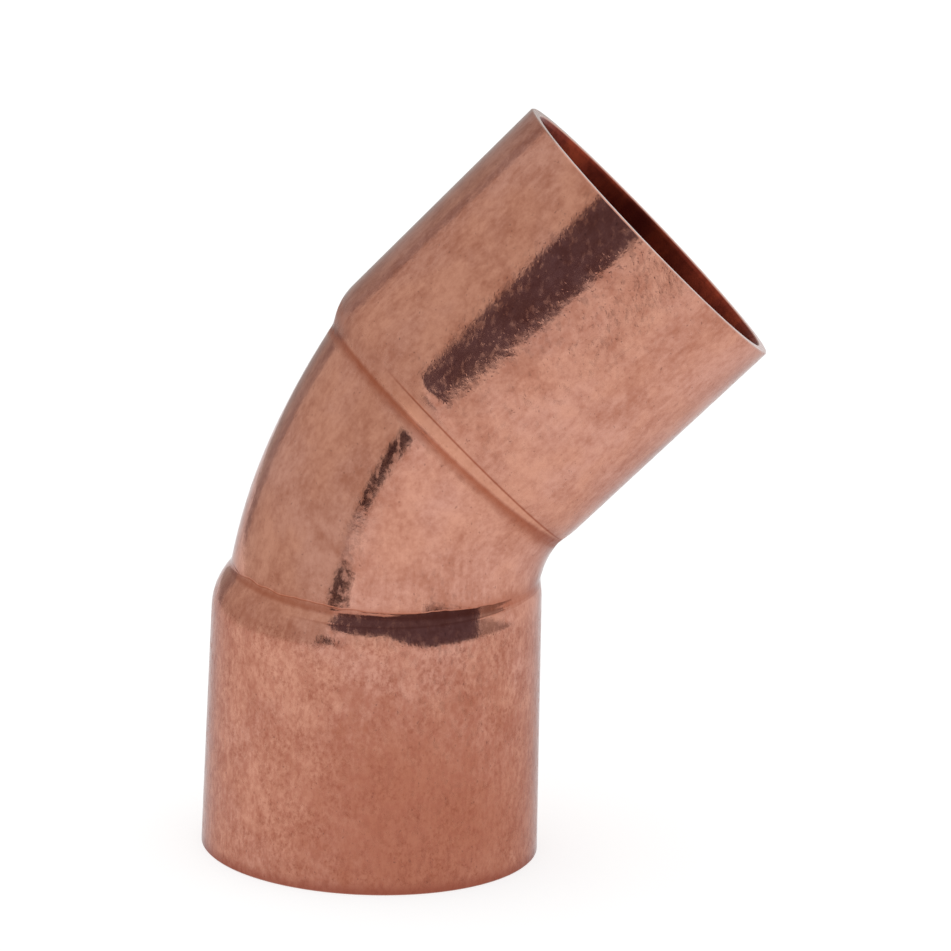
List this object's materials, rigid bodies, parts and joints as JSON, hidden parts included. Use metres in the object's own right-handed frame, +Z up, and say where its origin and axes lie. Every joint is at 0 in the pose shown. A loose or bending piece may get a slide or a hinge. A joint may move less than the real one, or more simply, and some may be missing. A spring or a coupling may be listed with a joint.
{
  "type": "forty-five degree copper pipe elbow",
  "caption": "Short forty-five degree elbow in drawn copper with a solder cup at each end, narrowing at rounded shoulders to the bend.",
  "frame": {"origin": "centre of the lower mouth, in the plane of its rim", "axes": "+Z up the lower cup's axis into the fitting, +X the way the bend turns, Y across the plane of the bend"},
  "size_m": [0.0396, 0.0242, 0.0544],
  "materials": {
    "copper": "satin bare copper, slightly mottled"
  },
  "bodies": {
    "root": {"elbow_body": "copper"}
  },
  "joints": []
}
